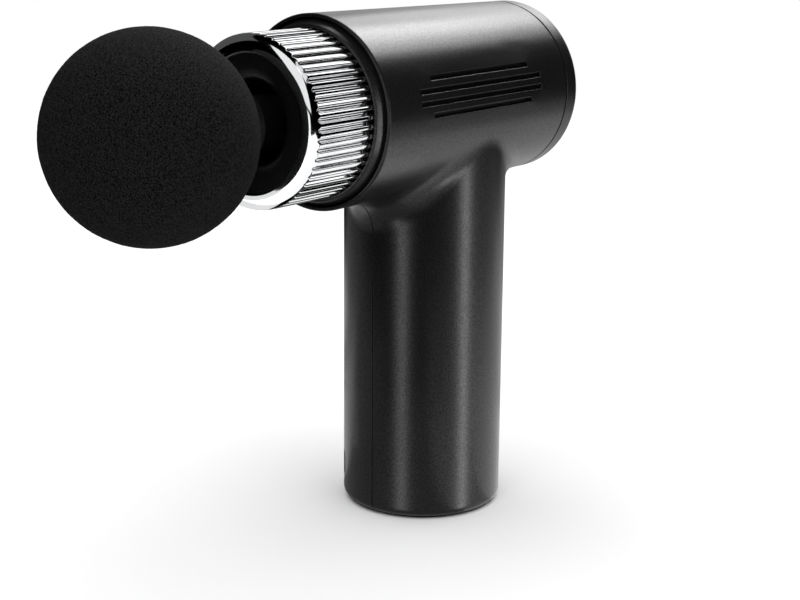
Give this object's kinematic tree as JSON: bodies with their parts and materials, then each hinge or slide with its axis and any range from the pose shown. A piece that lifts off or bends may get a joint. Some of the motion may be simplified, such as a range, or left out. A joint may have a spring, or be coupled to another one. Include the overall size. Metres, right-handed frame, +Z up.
{
  "type": "massage gun",
  "caption": "Pocket massage gun: upright round handle, horizontal barrel, fluted chrome nose ring, and a foam ball head driven by a motor, crank, rod and sliding piston.",
  "frame": {"origin": "centre of the handle's base, on the surface it stands on", "axes": "+X along the barrel towards the massage head, +Z up the handle, +Y to the left across the width"},
  "size_m": [0.1507, 0.0454, 0.1254],
  "materials": {
    "satin_black": "satin",
    "gloss_black": "gloss",
    "collar_black": "satin",
    "inner_black": "matte",
    "chrome_plate": "polished",
    "black_foam": "matte",
    "black_rubber": "matte",
    "cast_alloy": "satin",
    "turned_steel": "satin",
    "piston_alloy": "satin",
    "black_acetal": "satin",
    "screw_steel": "satin",
    "stator_iron": "satin",
    "copper_wire": "satin",
    "magnet_nickel": "polished",
    "cell_wrap": "satin",
    "nickel_strip": "satin",
    "board_green": "satin",
    "led_white": "gloss",
    "clear_plastic": "gloss",
    "wire_sleeve": "satin",
    "wire_yellow": "satin",
    "cable_grey": "satin"
  },
  "bodies": {
    "housing": {"left_shell": "satin_black", "right_shell": "satin_black", "rear_cap": "satin_black", "nose_plate": "gloss_black", "front_collar": "collar_black", "nose_body": "inner_black", "battery_holder": "inner_black", "tact_switch": "inner_black", "board_components": "inner_black", "chrome_ring": "chrome_plate", "base_pad": "black_rubber", "vibration_ring": "black_rubber", "drive_frame": "cast_alloy", "motor_mount": "cast_alloy", "motor_bearings": "turned_steel", "guide_bush": "black_acetal", "case_screws": "screw_steel", "board_screws": "screw_steel", "frame_screws": "screw_steel", "motor_screws": "screw_steel", "stator_core": "stator_iron", "stator_windings": "copper_wire", "battery_cell_left": "cell_wrap", "battery_cell_right": "cell_wrap", "battery_links": "nickel_strip", "usb_socket": "nickel_strip", "control_board": "board_green", "button_board": "board_green", "charge_board": "board_green", "led_chips": "led_white", "led_light_pipes": "clear_plastic", "battery_wires": "wire_sleeve", "motor_wires": "wire_yellow", "button_cable": "cable_grey"},
    "crank": {"motor_shaft": "turned_steel", "rotor_can": "turned_steel", "rotor_magnets": "magnet_nickel", "crank_disc": "turned_steel"},
    "rod": {"connecting_rod": "cast_alloy", "rod_bearing": "turned_steel", "crank_pin": "turned_steel"},
    "piston": {"piston": "piston_alloy", "wrist_pin": "turned_steel"},
    "head": {"head_stem": "collar_black", "stem_o_rings": "black_rubber", "foam_ball": "black_foam"},
    "button": {"power_button": "gloss_black", "switch_plunger": "black_acetal"},
    "flap": {"port_flap": "black_rubber"}
  },
  "joints": [
    {"name": "crank_spin", "type": "hinge", "parent": "housing", "child": "crank", "pos_m": [0, 0, 0.0963], "axis": [0, 0, 1], "continuous": true},
    {"name": "piston_stroke", "type": "slide", "parent": "housing", "child": "piston", "axis": [1, 0, 0], "range_m": [0, 0.007]},
    {"name": "rod_swing", "type": "hinge", "parent": "piston", "child": "rod", "pos_m": [0.022, 0, 0.1027], "axis": [0, 0, 1], "range_deg": [-7.9, 7.9]},
    {"name": "head_release", "type": "slide", "parent": "piston", "child": "head", "axis": [1, 0, 0], "range_m": [0, 0.0165]},
    {"name": "button_press", "type": "slide", "parent": "housing", "child": "button", "axis": [1, 0, 0], "range_m": [0, 0.0006], "stiffness_N_per_m": 1500},
    {"name": "flap_hinge", "type": "hinge", "parent": "housing", "child": "flap", "pos_m": [0.0106, -0.01696, 0.0117], "axis": [-0.848, -0.5299, 0], "range_deg": [0, 90]}
  ]
}
